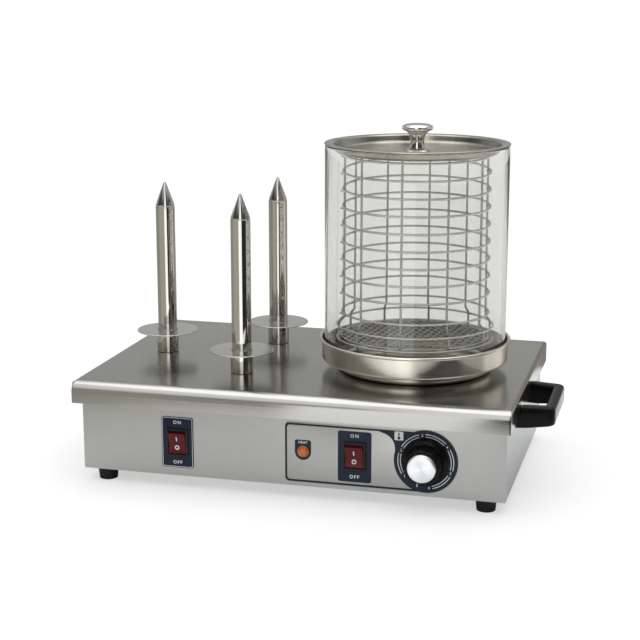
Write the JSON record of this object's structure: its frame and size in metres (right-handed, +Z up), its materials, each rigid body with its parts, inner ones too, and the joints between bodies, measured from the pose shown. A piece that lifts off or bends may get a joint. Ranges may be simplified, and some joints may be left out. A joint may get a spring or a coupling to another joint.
{
  "type": "hot dog steamer",
  "caption": "Countertop hot dog steamer: low steel cabinet with a glass steaming cylinder, wire basket and lid, heated bun spikes with discs, rocker switches and a thermostat knob.",
  "frame": {"origin": "on the standing surface under the centre of the machine's bounding box, handles, dial and cable gland included", "axes": "+X to the right as the operator faces the controls, +Y from the front towards the back, +Z up"},
  "size_m": [0.5486, 0.342, 0.39],
  "materials": {
    "cover_steel": "brushed lengthways, satin",
    "housing_steel": "brushed lengthways, satin",
    "polished_steel": "polished",
    "wire_steel": "bright drawn wire",
    "chrome": "mirror",
    "galvanised": "zinc plated",
    "rubber": "matt",
    "black_gloss": "moulded, glossy",
    "black_matte": "moulded, fine grain",
    "terminal_plastic": "moulded",
    "navy_label": "printed film",
    "red_rocker": "translucent moulded",
    "amber_lens": "translucent moulded",
    "clear_glass": "clear, fire polished edges"
  },
  "bodies": {
    "cabinet": {"top_cover": "cover_steel", "front_panel": "housing_steel", "rear_panel": "housing_steel", "side_panel_left": "housing_steel", "side_panel_right": "housing_steel", "bottom_plate": "galvanised", "foot_1": "rubber", "foot_2": "rubber", "foot_3": "rubber", "foot_4": "rubber", "foot_screw_1": "galvanised", "foot_screw_2": "galvanised", "foot_screw_3": "galvanised", "foot_screw_4": "galvanised", "handle_left": "black_gloss", "handle_right": "black_gloss", "handle_screw_left_1": "galvanised", "handle_screw_left_2": "galvanised", "handle_screw_right_1": "galvanised", "handle_screw_right_2": "galvanised", "switch_label": "navy_label", "control_overlay": "housing_steel", "switch_body_spikes": "black_gloss", "switch_body_steamer": "black_gloss", "lamp_lens": "amber_lens", "lamp_body": "black_gloss", "thermostat_body": "galvanised", "spike_1": "polished_steel", "spike_collar_1": "polished_steel", "spike_nut_1": "galvanised", "cartridge_heater_1": "galvanised", "spike_2": "polished_steel", "spike_collar_2": "polished_steel", "spike_nut_2": "galvanised", "cartridge_heater_2": "galvanised", "spike_3": "polished_steel", "spike_collar_3": "polished_steel", "spike_nut_3": "galvanised", "cartridge_heater_3": "galvanised", "water_pan": "polished_steel", "heater_plate": "galvanised", "terminal_block": "terminal_plastic", "cable_gland": "black_matte", "thermostat_bulb": "polished_steel"},
    "rocker_spikes_body": {"rocker_spikes": "red_rocker"},
    "rocker_steamer_body": {"rocker_steamer": "red_rocker"},
    "thermostat_dial": {"thermostat_knob": "black_gloss", "knob_cap": "polished_steel", "thermostat_shaft": "galvanised"},
    "glass": {"glass_cylinder": "clear_glass"},
    "lid_assembly": {"lid": "polished_steel", "lid_knob": "chrome", "lid_knob_screw": "galvanised"},
    "basket_assembly": {"basket": "wire_steel", "basket_floor": "wire_steel"},
    "disc_1": {"bun_disc_1": "polished_steel"},
    "disc_2": {"bun_disc_2": "polished_steel"},
    "disc_3": {"bun_disc_3": "polished_steel"}
  },
  "joints": [
    {"name": "rocker_spikes_press", "type": "hinge", "parent": "cabinet", "child": "rocker_spikes_body", "pos_m": [-0.124, -0.1406, 0.052], "axis": [-1, 0, 0], "range_deg": [0, 20]},
    {"name": "rocker_steamer_press", "type": "hinge", "parent": "cabinet", "child": "rocker_steamer_body", "pos_m": [0.0735, -0.1406, 0.052], "axis": [-1, 0, 0], "range_deg": [0, 20]},
    {"name": "thermostat_turn", "type": "hinge", "parent": "cabinet", "child": "thermostat_dial", "pos_m": [0.15, -0.143, 0.0523], "axis": [0, 1, 0], "range_deg": [0, 330]},
    {"name": "glass_lift", "type": "slide", "parent": "cabinet", "child": "glass", "axis": [0, 0, 1], "range_m": [0, 0.24]},
    {"name": "lid_lift", "type": "slide", "parent": "glass", "child": "lid_assembly", "axis": [0, 0, 1], "range_m": [0, 0.27]},
    {"name": "basket_lift", "type": "slide", "parent": "cabinet", "child": "basket_assembly", "axis": [0, 0, 1], "range_m": [0, 0.243]},
    {"name": "disc_1_lift", "type": "slide", "parent": "cabinet", "child": "disc_1", "axis": [0, 0, 1], "range_m": [0, 0.18]},
    {"name": "disc_2_lift", "type": "slide", "parent": "cabinet", "child": "disc_2", "axis": [0, 0, 1], "range_m": [0, 0.18]},
    {"name": "disc_3_lift", "type": "slide", "parent": "cabinet", "child": "disc_3", "axis": [0, 0, 1], "range_m": [0, 0.18]}
  ],
  "couplings": [
    {"joint": "basket_lift", "follows": "lid_lift", "ratio": 0.9}
  ]
}
